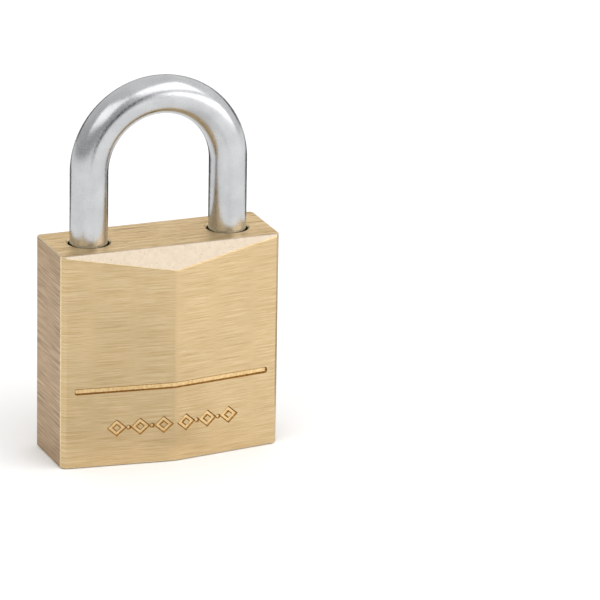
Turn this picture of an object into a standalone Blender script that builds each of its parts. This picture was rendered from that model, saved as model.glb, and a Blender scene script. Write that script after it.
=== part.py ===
"""A small brass padlock: a six-sided body, a steel shackle held by two locking bolts, and a four-pin cylinder.

The origin is the middle of the base. +Z points up along the shackle, +X across the width, and the front is at -Y.
The model rests closed with the key turned, so both bolts are drawn back and the shackle is free to rise.
The cylinder's pieces are modelled with the keyway across the width and sit on an empty that is turned by KEY_TURN.
"""

import math

import bmesh
import bpy
from mathutils import Matrix, Vector

MM = 0.001

# Body
BODY_WIDTH = 30.0 * MM
BODY_HEIGHT = 28.8 * MM
SIDE_DEPTH = 10.2 * MM  # front to back, at the narrow sides
RIDGE_RISE = 1.85 * MM  # how far the middle of the front and of the back stands past the sides
FACET_TOP = 4.95 * MM  # mid-plane to the top edge of the sloped facets
FACET_DROP = 2.9 * MM  # how far the facets come down at the ridge
CORNER_CHAMFER = 0.6 * MM
MOUTH_CHAMFER = 0.2 * MM
FLOOR_WALL = 3.0 * MM  # brass left under the heel bore
LEG_WALL = 2.7 * MM  # brass left outside each leg bore

# Decorative groove across the front
LINE_HEIGHT = 10.0 * MM
LINE_WIDTH = 0.8 * MM
LINE_DEPTH = 0.3 * MM
LINE_END = 1.7 * MM  # left uncut beside each corner

# Shackle
ROD_DIAMETER = 5.0 * MM
LEG_CLEARANCE = 0.25 * MM
SHACKLE_RISE = 9.35 * MM  # body top to where the legs start to curve
LEG_END_CHAMFER = 0.5 * MM
LIFT_SPARE = 1.0 * MM  # how far the toe clears the body when it is up

# Locking bolts
BOLT_DEPTH = 5.5 * MM  # body top to the bolts' axis
BOLT_DIAMETER = 3.4 * MM
BOLT_CLEARANCE = 0.08 * MM
HEEL_TRAVEL = 0.8 * MM
TOE_TRAVEL = 1.3 * MM
HEEL_CATCH = 0.45 * MM  # how far the drawn-back heel bolt still reaches into the leg's groove
TIP_CHAMFER = 0.35 * MM
NOTCH_CLEARANCE = 0.15 * MM
NOTCH_LIP = 2.1 * MM  # steel left below the toe's notch
HEEL_FOOT = 2.5 * MM  # steel left below the heel's neck
TONGUE_WALL = 1.0 * MM  # steel at the end of each tongue
TONGUE_GAP = 0.1 * MM
BOLT_SPRING_ROOM = 1.6 * MM

# Cylinder
PLUG_DIAMETER = 9.0 * MM
PLUG_CLEARANCE = 0.04 * MM
PLUG_RECESS = 0.2 * MM
FIRST_PIN = 4.2 * MM  # base to the first pin's axis
PIN_PITCH = 2.9 * MM
PIN_DIAMETER = 2.3 * MM
PIN_CLEARANCE = 0.1 * MM
PIN_CHAMFER = 0.3 * MM
KEY_CUTS = (0.6 * MM, 1.9 * MM, 1.1 * MM, 1.5 * MM)  # depth of each cut, from the key's edge
KEY_EDGE = 1.1 * MM  # shear line to the key's edge
CHAMBER_END = 0.4 * MM  # plug axis to the inner end of the pin chambers
DRIVER_LENGTH = 3.1 * MM
CAP_LENGTH = 2.0 * MM
KEYWAY_WIDTH = 1.9 * MM
KEYWAY_BACK = 0.9 * MM  # brass left behind the keyway
WARD_DEPTH = 0.55 * MM
RETAINER_DIAMETER = 1.6 * MM
RETAINER_CLEARANCE = 0.15 * MM
RETAINER_GROOVE = 0.8 * MM
KEY_TURN = math.radians(90)

# Cam between the plug and the bolts
CAM_DIAMETER = 4.4 * MM
CAM_CLEARANCE = 0.1 * MM
TANG_WIDTH = 1.2 * MM
TANG_LENGTH = 3.6 * MM
TANG_DEPTH = 1.0 * MM
STUD_DIAMETER = 0.7 * MM
STUD_CLEARANCE = 0.05 * MM

# Springs
SHACKLE_WIRE = 0.45 * MM
SHACKLE_COILS = 8
PIN_WIRE = 0.25 * MM
PIN_COILS = 7
BOLT_WIRE = 0.22 * MM
BOLT_COILS = 4
SPRING_CLEARANCE = 0.15 * MM

END_GAP = 0.1 * MM  # between the ends of neighbouring pieces
PRESS_GAP = 0.01 * MM  # around a pressed-in piece

# Sides of the round pieces
LEG_SIDES = 24
BORE_SIDES = 32
PLUG_SIDES = 40
SMALL_SIDES = 14
ARC_STEPS = 18

# Places worked out from the sizes above
ROD_RADIUS = ROD_DIAMETER / 2
LEG_BORE = ROD_RADIUS + LEG_CLEARANCE
LEG_X = BODY_WIDTH / 2 - LEG_WALL - LEG_BORE
LEG_FACE = LEG_X - ROD_RADIUS  # inner face of a leg
CROWN_Z = BODY_HEIGHT + SHACKLE_RISE
BOLT_RADIUS = BOLT_DIAMETER / 2
BOLT_BORE = BOLT_RADIUS + BOLT_CLEARANCE
BOLT_Z = BODY_HEIGHT - BOLT_DEPTH
NOTCH_HALF = BOLT_RADIUS + NOTCH_CLEARANCE
TOE_END = BOLT_Z - NOTCH_HALF - NOTCH_LIP
LIFT = BODY_HEIGHT - TOE_END + LIFT_SPARE
NECK_LOW = BOLT_Z - LIFT - NOTCH_HALF
HEEL_END = NECK_LOW - HEEL_FOOT
HEEL_TIP = LEG_FACE + HEEL_CATCH
TOE_TIP = LEG_FACE - END_GAP
NECK_RADIUS = LEG_X - HEEL_TIP - HEEL_TRAVEL - END_GAP / 2
PLUG_BORE = PLUG_DIAMETER / 2
PLUG_RADIUS = PLUG_BORE - PLUG_CLEARANCE
PIN_RADIUS = PIN_DIAMETER / 2
CHAMBER = PIN_RADIUS + PIN_CLEARANCE
PIN_HEIGHTS = [FIRST_PIN + PIN_PITCH * number for number in range(len(KEY_CUTS))]
RETAINER_Z = PIN_HEIGHTS[-1] + CHAMBER + RETAINER_DIAMETER
PLUG_TOP = RETAINER_Z + RETAINER_DIAMETER
CAM_RADIUS = CAM_DIAMETER / 2
CAM_LOW = PLUG_TOP + END_GAP
CAM_TOP = BOLT_Z - BOLT_RADIUS - END_GAP
STUD_RADIUS = STUD_DIAMETER / 2
STUD_TOP = BOLT_Z - END_GAP
HEEL_THROW = HEEL_TRAVEL / (2 * math.sin(KEY_TURN / 2))
TOE_THROW = TOE_TRAVEL / (2 * math.sin(KEY_TURN / 2))
SIDE_X = BODY_WIDTH / 2


def clear_scene():
    for old in list(bpy.data.objects):
        bpy.data.objects.remove(old, do_unlink=True)


def make_material(name, colour, roughness, metallic=1.0):
    material = bpy.data.materials.new(name)
    material.use_nodes = True
    shader = material.node_tree.nodes["Principled BSDF"]
    shader.inputs["Base Color"].default_value = (*colour, 1.0)
    shader.inputs["Roughness"].default_value = roughness
    shader.inputs["Metallic"].default_value = metallic
    return material


def make_object(name, shape, material, parent=None, place=(0, 0, 0)):
    """Turns a bmesh into a named object. The shape is already relative to the object's own origin."""
    mesh = bpy.data.meshes.new(name)
    bmesh.ops.recalc_face_normals(shape, faces=shape.faces)
    shape.to_mesh(mesh)
    shape.free()
    mesh.shade_smooth()
    mesh.set_sharp_from_angle(angle=math.radians(30))
    mesh.materials.append(material)
    made = bpy.data.objects.new(name, mesh)
    bpy.context.collection.objects.link(made)
    made.parent = parent
    made.location = place
    return made


def cut(target, shape, name, parent=None):
    """Cuts a shape away from an object with a Boolean modifier, and keeps its cutter as a hidden helper."""
    cutter = make_object(name, shape, target.data.materials[0], parent)
    cutter.hide_render = True
    cutter.display_type = "WIRE"
    modifier = target.modifiers.new(name, "BOOLEAN")
    modifier.operation = "DIFFERENCE"
    modifier.solver = "EXACT"
    modifier.object = cutter
    return cutter


def aim(axis):
    """The rotation that turns +Z to the given axis."""
    return Vector((0, 0, 1)).rotation_difference(Vector(axis)).to_matrix().to_4x4()


def turned(profile, sides, base=(0, 0, 0), axis=(0, 0, 1), around=False):
    """A solid turned about an axis, from (radius, height) points listed upwards.

    With around set, the flat sides lie outside the stated radius, as a bore needs.
    """
    shape = bmesh.new()
    grow = 1 / math.cos(math.pi / sides) if around else 1
    place = Matrix.Translation(base) @ aim(axis)
    rings = []
    for radius, height in profile:
        ring = []
        for step in range(sides):
            angle = math.tau * (step + 0.5) / sides
            point = Vector((radius * grow * math.cos(angle), radius * grow * math.sin(angle), height))
            ring.append(shape.verts.new(place @ point))
        rings.append(ring)
    shape.faces.new(reversed(rings[0]))
    shape.faces.new(rings[-1])
    for lower, upper in zip(rings, rings[1:]):
        for step in range(sides):
            after = (step + 1) % sides
            shape.faces.new((lower[step], lower[after], upper[after], upper[step]))
    return shape


def rod(radius, length, sides, base=(0, 0, 0), axis=(0, 0, 1), around=False):
    return turned([(radius, 0), (radius, length)], sides, base, axis, around)


def chamfered_rod(radius, length, low, high, base, axis):
    """A small pin with chamfers of the given sizes at its two ends."""
    profile = [(radius - low, 0), (radius, low), (radius, length - high), (radius - high, length)]
    return turned(profile, SMALL_SIDES, base, axis)


def block(low, high):
    """A box between two corners."""
    shape = bmesh.new()
    bmesh.ops.create_cube(shape, size=1)
    low, high = Vector(low), Vector(high)
    bmesh.ops.scale(shape, vec=high - low, verts=shape.verts)
    bmesh.ops.translate(shape, vec=(low + high) / 2, verts=shape.verts)
    return shape


def prism(outline, low, high):
    """An upright prism over a flat outline of (x, y) points."""
    shape = bmesh.new()
    floor = shape.faces.new([shape.verts.new((x, y, low)) for x, y in outline])
    raised = bmesh.ops.extrude_face_region(shape, geom=[floor])["geom"]
    points = [part for part in raised if isinstance(part, bmesh.types.BMVert)]
    bmesh.ops.translate(shape, vec=(0, 0, high - low), verts=points)
    return shape


def coil(mean_radius, wire, turns, length, base, axis, steps=12, wire_sides=5):
    """A compression spring: wire wound on a helix, with both ends of the wire capped."""
    shape = bmesh.new()
    place = Matrix.Translation(base) @ aim(axis)
    count = steps * turns
    rings = []
    for step in range(count + 1):
        angle = math.tau * step / steps
        height = wire / 2 + (length - wire) * step / count
        out = Vector((math.cos(angle), math.sin(angle), 0))
        centre = out * mean_radius + Vector((0, 0, height))
        ring = []
        for corner in range(wire_sides):
            turn = math.tau * corner / wire_sides
            offset = out * (math.cos(turn) * wire / 2) + Vector((0, 0, math.sin(turn) * wire / 2))
            ring.append(shape.verts.new(place @ (centre + offset)))
        rings.append(ring)
    shape.faces.new(rings[0])
    shape.faces.new(reversed(rings[-1]))
    for lower, upper in zip(rings, rings[1:]):
        for corner in range(wire_sides):
            after = (corner + 1) % wire_sides
            shape.faces.new((lower[corner], upper[corner], upper[after], lower[after]))
    return shape


def ridge_depth(x):
    """Mid-plane to the front face, at a distance x from the middle."""
    return SIDE_DEPTH / 2 + RIDGE_RISE * (1 - abs(x) / SIDE_X)


def body_outline(inset=0.0):
    """The six-sided section with chamfered corners, brought in by inset at the front only."""
    corner_x = SIDE_X - CORNER_CHAMFER
    corner_y = SIDE_DEPTH / 2 - CORNER_CHAMFER
    front = ridge_depth(corner_x) - inset
    back = ridge_depth(corner_x)
    return [
        (-SIDE_X, -corner_y),
        (-corner_x, -front),
        (0, -(ridge_depth(0) - inset)),
        (corner_x, -front),
        (SIDE_X, -corner_y),
        (SIDE_X, corner_y),
        (corner_x, back),
        (0, ridge_depth(0)),
        (-corner_x, back),
        (-SIDE_X, corner_y),
    ]


def facet_cut(shape, side):
    """Slices the sloped facet off the top of the front (side -1) or the back (side 1)."""
    run = ridge_depth(0) - FACET_TOP
    normal = Vector((0, side * FACET_DROP, run))
    edge = Vector((0, side * FACET_TOP, BODY_HEIGHT))
    everything = shape.verts[:] + shape.edges[:] + shape.faces[:]
    made = bmesh.ops.bisect_plane(shape, geom=everything, plane_co=edge, plane_no=normal, clear_outer=True)
    rim = [part for part in made["geom_cut"] if isinstance(part, bmesh.types.BMEdge)]
    bmesh.ops.holes_fill(shape, edges=rim)


def line_groove():
    """A shallow channel that follows both front planes."""
    ends = SIDE_X - LINE_END
    outline = [
        (-ends, -ridge_depth(ends) - LINE_DEPTH),
        (0, -ridge_depth(0) - LINE_DEPTH),
        (ends, -ridge_depth(ends) - LINE_DEPTH),
        (ends, -ridge_depth(ends) + LINE_DEPTH),
        (0, -ridge_depth(0) + LINE_DEPTH),
        (-ends, -ridge_depth(ends) + LINE_DEPTH),
    ]
    return prism(outline, LINE_HEIGHT, LINE_HEIGHT + LINE_WIDTH)


def leg_bore(x, floor):
    """A leg's bore, opened out by a small chamfer at the top of the body."""
    profile = [
        (LEG_BORE, floor),
        (LEG_BORE, BODY_HEIGHT - MOUTH_CHAMFER),
        (LEG_BORE + 2 * MOUTH_CHAMFER, BODY_HEIGHT + MOUTH_CHAMFER),
    ]
    return turned(profile, BORE_SIDES, (x, 0, 0), around=True)


def cylinder_bore():
    """The plug's bore, with the narrower bore of the cam above it."""
    cam_bore = CAM_RADIUS + CAM_CLEARANCE
    profile = [
        (PLUG_BORE, -END_GAP),
        (PLUG_BORE, PLUG_TOP + END_GAP),
        (cam_bore, PLUG_TOP + END_GAP),
        (cam_bore, BOLT_Z),
    ]
    return turned(profile, PLUG_SIDES, around=True)


def side_bore(radius, height, inner, sides):
    """A hole drilled from the +X side, as far as the stated distance from the middle."""
    return rod(radius, SIDE_X + END_GAP - inner, sides, (inner, 0, height), (1, 0, 0), around=True)


def make_body(brass):
    shape = prism(body_outline(), 0, BODY_HEIGHT)
    facet_cut(shape, -1)
    facet_cut(shape, 1)
    body = make_object("body", shape, brass)
    cut(body, leg_bore(-LEG_X, FLOOR_WALL), "heel_bore_cutter")
    cut(body, leg_bore(LEG_X, TOE_END - END_GAP), "toe_bore_cutter")
    cut(body, cylinder_bore(), "cylinder_bore_cutter")
    cut(body, side_bore(BOLT_BORE, BOLT_Z, -LEG_X, BORE_SIDES), "bolt_bore_cutter")
    for number, height in enumerate(PIN_HEIGHTS, 1):
        chamber = side_bore(CHAMBER, height, PLUG_BORE / 2, SMALL_SIDES)
        cut(body, chamber, f"chamber_cutter_{number}")
    retainer = side_bore(RETAINER_DIAMETER / 2 + PRESS_GAP, RETAINER_Z, PLUG_BORE / 2, SMALL_SIDES)
    cut(body, retainer, "retainer_cutter")
    cut(body, line_groove(), "line_cutter")
    return body


def leg_rings():
    """The shackle's path from heel to toe: (centre, direction of the radius in XZ, radius) for each ring."""
    outward = Vector((-1, 0, 0))
    chamfer = LEG_END_CHAMFER
    neck_top = NECK_LOW + 2 * NOTCH_HALF
    slope = (ROD_RADIUS - NECK_RADIUS) / 2
    stations = [
        (HEEL_END, ROD_RADIUS - chamfer),
        (HEEL_END + chamfer, ROD_RADIUS),
        (NECK_LOW, ROD_RADIUS),
        (NECK_LOW, NECK_RADIUS),
        (neck_top, NECK_RADIUS),
        (neck_top + slope, ROD_RADIUS),
    ]
    rings = [(Vector((-LEG_X, 0, height)), outward, radius) for height, radius in stations]
    for step in range(ARC_STEPS + 1):
        angle = math.pi * (1 - step / ARC_STEPS)
        out = Vector((math.cos(angle), 0, math.sin(angle)))
        rings.append((Vector((0, 0, CROWN_Z)) + out * LEG_X, out, ROD_RADIUS))
    toe = Vector((LEG_X, 0, 0))
    rings.append((toe + Vector((0, 0, TOE_END + chamfer)), -outward, ROD_RADIUS))
    rings.append((toe + Vector((0, 0, TOE_END)), -outward, ROD_RADIUS - chamfer))
    return rings


def make_shackle(steel):
    """One bent rod. Its origin is on the heel leg's axis, at the body's top."""
    origin = Vector((-LEG_X, 0, BODY_HEIGHT))
    shape = bmesh.new()
    rings = []
    for centre, out, radius in leg_rings():
        ring = []
        for step in range(LEG_SIDES):
            angle = math.tau * (step + 0.5) / LEG_SIDES
            offset = out * math.cos(angle) + Vector((0, math.sin(angle), 0))
            ring.append(shape.verts.new(centre + offset * radius - origin))
        rings.append(ring)
    shape.faces.new(rings[0])
    shape.faces.new(rings[-1])
    for lower, upper in zip(rings, rings[1:]):
        for step in range(LEG_SIDES):
            after = (step + 1) % LEG_SIDES
            shape.faces.new((lower[step], lower[after], upper[after], upper[step]))
    shackle = make_object("shackle", shape, steel, place=origin)
    reach = ROD_DIAMETER
    notch_low, notch_high = BOLT_Z - NOTCH_HALF, BOLT_Z + NOTCH_HALF
    heel_floor = HEEL_TIP + HEEL_TRAVEL + END_GAP
    toe_floor = TOE_TIP + TOE_TRAVEL + END_GAP
    heel_notch = block((-heel_floor, -reach, notch_low), (-LEG_FACE + reach / 2, reach, notch_high))
    toe_notch = block((LEG_FACE - reach / 2, -reach, notch_low), (toe_floor, reach, notch_high))
    track_low = NECK_LOW + NOTCH_HALF
    track = block((-HEEL_TIP - END_GAP, -reach, track_low), (-LEG_FACE + reach / 2, reach, BOLT_Z))
    cut(shackle, heel_notch, "heel_notch_cutter")
    cut(shackle, toe_notch, "toe_notch_cutter")
    cut(shackle, track, "heel_track_cutter")
    return shackle


def make_shackle_spring(steel):
    mean = LEG_BORE - SPRING_CLEARANCE - SHACKLE_WIRE / 2
    low = FLOOR_WALL + END_GAP
    length = HEEL_END - END_GAP - low
    shape = coil(mean, SHACKLE_WIRE, SHACKLE_COILS, length, (0, 0, 0), (0, 0, 1))
    return make_object("shackle_spring", shape, steel, place=(-LEG_X, 0, low))


def keyway():
    """The keyway's slot, with a ward standing in from each side."""
    half = KEYWAY_WIDTH / 2
    back = -(PLUG_RADIUS - KEYWAY_BACK)
    front = PLUG_RADIUS - KEY_EDGE
    third = (front - back) / 6
    outline = [
        (back, -half),
        (back + third, -half),
        (back + third, WARD_DEPTH - half),
        (back + 2 * third, WARD_DEPTH - half),
        (back + 2 * third, -half),
        (front, -half),
        (front, half),
        (back + 4.5 * third, half),
        (back + 4.5 * third, half - WARD_DEPTH),
        (back + 3.5 * third, half - WARD_DEPTH),
        (back + 3.5 * third, half),
        (back, half),
    ]
    return prism(outline, 0, PIN_HEIGHTS[-1] + CHAMBER)


def make_plug(brass, axle):
    groove = RETAINER_DIAMETER / 2 + RETAINER_CLEARANCE
    waist = PLUG_RADIUS - RETAINER_GROOVE
    profile = [
        (PLUG_RADIUS - PIN_CHAMFER, PLUG_RECESS),
        (PLUG_RADIUS, PLUG_RECESS + PIN_CHAMFER),
        (PLUG_RADIUS, RETAINER_Z - groove),
        (waist, RETAINER_Z - groove),
        (waist, RETAINER_Z + groove),
        (PLUG_RADIUS, RETAINER_Z + groove),
        (PLUG_RADIUS, PLUG_TOP),
    ]
    plug = make_object("plug", turned(profile, PLUG_SIDES), brass, axle)
    cut(plug, keyway(), "keyway_cutter", axle)
    for number, height in enumerate(PIN_HEIGHTS, 1):
        length = PLUG_BORE + END_GAP - CHAMBER_END
        chamber = rod(CHAMBER, length, SMALL_SIDES, (CHAMBER_END, 0, height), (1, 0, 0), around=True)
        cut(plug, chamber, f"plug_chamber_cutter_{number}", axle)
    half = TANG_WIDTH / 2 + STUD_CLEARANCE
    slot = (-PLUG_BORE, -half, PLUG_TOP - TANG_DEPTH - END_GAP), (PLUG_BORE, half, PLUG_TOP + END_GAP)
    cut(plug, block(*slot), "tang_slot_cutter", axle)
    return plug


def make_cam(steel, axle):
    """A round stem with a tang below, for the plug, and two drive studs above, one for each bolt."""
    cam = make_object("plug_cam", rod(CAM_RADIUS, CAM_TOP - CAM_LOW, BORE_SIDES, (0, 0, CAM_LOW)), steel, axle)
    half_length, half_width = TANG_LENGTH / 2, TANG_WIDTH / 2
    tang = block((-half_length, -half_width, PLUG_TOP - TANG_DEPTH), (half_length, half_width, CAM_LOW + END_GAP))
    join(cam, tang, "cam_tang", axle)
    for name, throw, side in (("heel", HEEL_THROW, -1), ("toe", TOE_THROW, 1)):
        x = side * throw * math.sin(KEY_TURN / 2)
        y = side * throw * math.cos(KEY_TURN / 2)
        low = CAM_TOP - END_GAP
        stud = rod(STUD_RADIUS, STUD_TOP - low, SMALL_SIDES, (x, y, low))
        join(cam, stud, f"cam_stud_{name}", axle)
    return cam


def join(target, shape, name, parent=None):
    """Adds a shape to an object with a Boolean union."""
    helper = cut(target, shape, name, parent)
    target.modifiers[helper.name].operation = "UNION"


def make_key_pin(number, brass, axle):
    """A key pin with its pointed tip on the key's cut and its other end at the shear line."""
    height = PIN_HEIGHTS[number - 1]
    tip = PLUG_RADIUS - KEY_EDGE - KEY_CUTS[number - 1]
    length = PLUG_RADIUS - END_GAP - tip
    point = PIN_RADIUS * 0.6
    profile = [
        (PIN_RADIUS - point, 0),
        (PIN_RADIUS, point),
        (PIN_RADIUS, length - PIN_CHAMFER / 2),
        (PIN_RADIUS - PIN_CHAMFER, length),
    ]
    shape = turned(profile, SMALL_SIDES, axis=(1, 0, 0))
    return make_object(f"key_pin_{number}", shape, brass, axle, (tip, 0, height))


def make_driver_stack(number, brass, steel):
    """A driver pin, its spring and the cap that closes their chamber, in the body's +X side."""
    height = PIN_HEIGHTS[number - 1]
    start = PLUG_BORE + END_GAP / 2
    shape = chamfered_rod(PIN_RADIUS, DRIVER_LENGTH, PIN_CHAMFER, PIN_CHAMFER / 2, (0, 0, 0), (1, 0, 0))
    make_object(f"driver_pin_{number}", shape, brass, place=(start, 0, height))
    cap_inner = SIDE_X - CAP_LENGTH
    spring_start = start + DRIVER_LENGTH + END_GAP
    length = cap_inner - END_GAP - spring_start
    mean = CHAMBER - SPRING_CLEARANCE - PIN_WIRE / 2
    spring = coil(mean, PIN_WIRE, PIN_COILS, length, (0, 0, 0), (1, 0, 0), steps=8)
    make_object(f"driver_spring_{number}", spring, steel, place=(spring_start, 0, height))
    cap = rod(CHAMBER - PRESS_GAP, CAP_LENGTH, SMALL_SIDES, axis=(1, 0, 0))
    make_object(f"chamber_cap_{number}", cap, brass, place=(cap_inner, 0, height))


def make_retaining_pin(steel):
    """A pin pressed in from the +X side, whose end stands in the plug's groove."""
    inner = PLUG_RADIUS - RETAINER_GROOVE + RETAINER_CLEARANCE
    shape = chamfered_rod(RETAINER_DIAMETER / 2, SIDE_X - inner, PIN_CHAMFER, 0.1 * PIN_CHAMFER, (0, 0, 0), (1, 0, 0))
    return make_object("plug_retaining_pin", shape, steel, place=(inner, 0, RETAINER_Z))


def make_bolt(name, side, tip, shoulder, throw, travel, steel):
    """A round bolt whose inner half is a tongue that passes beside the other bolt's tongue.

    side is -1 for the heel bolt, on the left, and 1 for the toe bolt. The cam's stud drives it through a slot
    that is longer than the stud, so the bolt can also be pushed back against its spring.
    """
    slot_half = throw * math.sin(KEY_TURN / 2) + STUD_RADIUS + STUD_CLEARANCE
    inner_end = slot_half + TONGUE_WALL
    length = tip + inner_end
    profile = [(BOLT_RADIUS, 0), (BOLT_RADIUS, length - TIP_CHAMFER), (BOLT_RADIUS - TIP_CHAMFER, length)]
    place = Vector((-side * inner_end, 0, BOLT_Z))
    shape = turned(profile, SMALL_SIDES * 2, axis=(side, 0, 0))
    bolt = make_object(name, shape, steel, place=place)
    reach = BOLT_DIAMETER
    edge = side * TONGUE_GAP / 2
    low_x, high_x = sorted((-side * (inner_end + END_GAP), side * shoulder))
    low_y, high_y = sorted((edge, -side * reach))
    cut(bolt, block((low_x, low_y, BOLT_Z - reach), (high_x, high_y, BOLT_Z + reach)), f"{name}_tongue_cutter")
    low_y, high_y = sorted((edge - side * END_GAP, side * reach))
    slot = (-slot_half, low_y, BOLT_Z - reach), (slot_half, high_y, STUD_TOP + END_GAP)
    cut(bolt, block(*slot), f"{name}_slot_cutter")
    return bolt


def make_bolts(steel, spring_steel):
    """Both bolts, drawn back, and the two small springs that push them apart."""
    heel_slot = HEEL_THROW * math.sin(KEY_TURN / 2) + STUD_RADIUS + STUD_CLEARANCE
    toe_slot = TOE_THROW * math.sin(KEY_TURN / 2) + STUD_RADIUS + STUD_CLEARANCE
    toe_shoulder = heel_slot + TONGUE_WALL + BOLT_SPRING_ROOM
    heel_shoulder = toe_slot + TONGUE_WALL + BOLT_SPRING_ROOM
    make_bolt("heel_bolt", -1, HEEL_TIP, heel_shoulder, HEEL_THROW, HEEL_TRAVEL, steel)
    make_bolt("toe_bolt", 1, TOE_TIP, toe_shoulder, TOE_THROW, TOE_TRAVEL, steel)
    room = BOLT_RADIUS - TONGUE_GAP
    mean = room / 2 - BOLT_WIRE / 2 - SPRING_CLEARANCE / 2
    length = BOLT_SPRING_ROOM - 2 * END_GAP
    for name, side, start in (("heel", 1, heel_slot), ("toe", -1, toe_slot)):
        x = side * (start + TONGUE_WALL + END_GAP)
        y = -side * (TONGUE_GAP / 2 + room / 2)
        spring = coil(mean, BOLT_WIRE, BOLT_COILS, length, (0, 0, 0), (side, 0, 0), steps=8)
        make_object(f"{name}_bolt_spring", spring, spring_steel, place=(x, y, BOLT_Z))


def make_bolt_bore_cap(brass):
    inner = LEG_X + LEG_BORE + END_GAP
    cap = rod(BOLT_BORE - PRESS_GAP, SIDE_X - inner, BORE_SIDES, axis=(1, 0, 0))
    return make_object("bolt_bore_cap", cap, brass, place=(inner, 0, BOLT_Z))


def main():
    clear_scene()
    brass = make_material("satin_brass", (0.72, 0.53, 0.26), 0.38)
    plug_brass = make_material("turned_brass", (0.75, 0.58, 0.30), 0.30)
    pin_brass = make_material("pin_brass", (0.78, 0.60, 0.32), 0.28)
    plated_steel = make_material("plated_steel", (0.62, 0.63, 0.65), 0.16)
    plain_steel = make_material("plain_steel", (0.42, 0.42, 0.43), 0.40)
    spring_steel = make_material("spring_steel", (0.35, 0.36, 0.38), 0.35)

    make_body(brass)
    make_shackle(plated_steel)
    make_shackle_spring(spring_steel)
    axle = bpy.data.objects.new("plug_axle", None)
    axle.rotation_euler.z = KEY_TURN
    bpy.context.collection.objects.link(axle)
    make_plug(plug_brass, axle)
    make_cam(plain_steel, axle)
    make_retaining_pin(plain_steel)
    for number in range(1, len(KEY_CUTS) + 1):
        make_key_pin(number, pin_brass, axle)
        make_driver_stack(number, pin_brass, spring_steel)
    make_bolts(plain_steel, spring_steel)
    make_bolt_bore_cap(brass)


main()
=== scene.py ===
# %% [markdown]
# # A small brass padlock
#
# The lock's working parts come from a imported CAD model. This lesson builds the surfaces that the eye sees
# round that frame: a brushed brass body, a plated steel shackle, and the small turned and wound pieces
# inside. Each step first says what the real piece is, then models it with the ordinary edit tools.

# %% Load the frame
import math

import bpy
from mathutils import Matrix, Vector


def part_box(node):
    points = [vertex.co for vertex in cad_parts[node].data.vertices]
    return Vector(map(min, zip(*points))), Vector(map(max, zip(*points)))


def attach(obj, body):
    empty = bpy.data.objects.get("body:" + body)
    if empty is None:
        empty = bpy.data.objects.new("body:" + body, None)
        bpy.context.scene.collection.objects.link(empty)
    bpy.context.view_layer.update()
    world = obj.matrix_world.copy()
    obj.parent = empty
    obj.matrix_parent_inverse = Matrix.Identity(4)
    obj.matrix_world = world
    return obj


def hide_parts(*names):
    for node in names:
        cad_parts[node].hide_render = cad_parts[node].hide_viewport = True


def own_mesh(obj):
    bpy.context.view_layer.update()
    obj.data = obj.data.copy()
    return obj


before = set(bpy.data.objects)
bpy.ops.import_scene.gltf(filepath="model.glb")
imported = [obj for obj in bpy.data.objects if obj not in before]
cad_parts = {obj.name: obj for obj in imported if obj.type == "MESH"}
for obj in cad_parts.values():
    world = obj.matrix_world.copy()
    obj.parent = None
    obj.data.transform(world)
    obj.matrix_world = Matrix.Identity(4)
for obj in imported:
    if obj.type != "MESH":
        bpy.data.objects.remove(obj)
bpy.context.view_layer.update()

# %% [markdown]
# ## Sizes
#
# Every place is read from the frame, so a piece lands where the CAD has it. What the frame does not say,
# such as the width of a chamfer, is a small size of its own, written here in millimetres.

# %% Read the main sizes from the frame
MM = 0.001
CLOSE = 0.1 * MM  # a point nearer than this counts as on a plane
SAME = 0.01 * MM  # two places nearer than this count as one
GAP = 0.1 * MM  # between two pieces that run or stand close together
X, Y, Z = Vector((1, 0, 0)), Vector((0, 1, 0)), Vector((0, 0, 1))


def middle(node):
    low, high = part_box(node)
    return (low + high) / 2


def extent(node):
    low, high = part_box(node)
    return high - low


body_low, body_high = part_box("body")
WIDTH = body_high.x - body_low.x
HEIGHT = body_high.z - body_low.z
RIDGE_Y = body_high.y
CORNER_Y = 5.1 * MM  # half the depth of the narrow sides
FACET_TOP = 4.95 * MM  # mid-plane to the top edge of a sloped facet
FACET_DROP = 2.9 * MM
CORNER_CHAMFER = 0.6 * MM
BELLY = 0.3  # a rounded end's middle station, as a share of its chamfer

shackle_low, shackle_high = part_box("shackle")
ROD_RADIUS = extent("shackle").y / 2
LEG_X = (shackle_high.x - shackle_low.x) / 2 - ROD_RADIUS
CROWN_Z = shackle_high.z - LEG_X - ROD_RADIUS
HEEL_END = shackle_low.z
LEG_BORE = ROD_RADIUS + 0.25 * MM
BOLT_Z = middle("heel_bolt").z
BOLT_RADIUS = extent("heel_bolt").z / 2
NOTCH_FIT = 0.15 * MM  # above and below a bolt in its notch
CHAMBER = 1.25 * MM  # radius of a pin chamber
print("body, mm:", round(WIDTH / MM, 2), round(HEIGHT / MM, 2), "rod radius:", round(ROD_RADIUS / MM, 3))

# %% [markdown]
# ## Small tools
#
# The edit operators act on whatever is selected. Each helper below first clears the selection, then selects
# one object, or the faces or edges of it that pass a test on their place or normal.


# %% Selection helpers
def leave_edit_mode():
    if bpy.context.object and bpy.context.object.mode != "OBJECT":
        bpy.ops.object.mode_set(mode="OBJECT")


def take(piece):
    """Makes one object the only selected one, and the active one."""
    leave_edit_mode()
    bpy.ops.object.select_all(action="DESELECT")
    piece.select_set(True)
    bpy.context.view_layer.objects.active = piece


def edit(piece, kind="FACE", everything=False):
    """Opens a piece in edit mode with nothing selected, or all of it."""
    take(piece)
    bpy.ops.object.mode_set(mode="EDIT")
    bpy.ops.mesh.select_mode(type=kind)
    bpy.ops.mesh.select_all(action="SELECT" if everything else "DESELECT")


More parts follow.
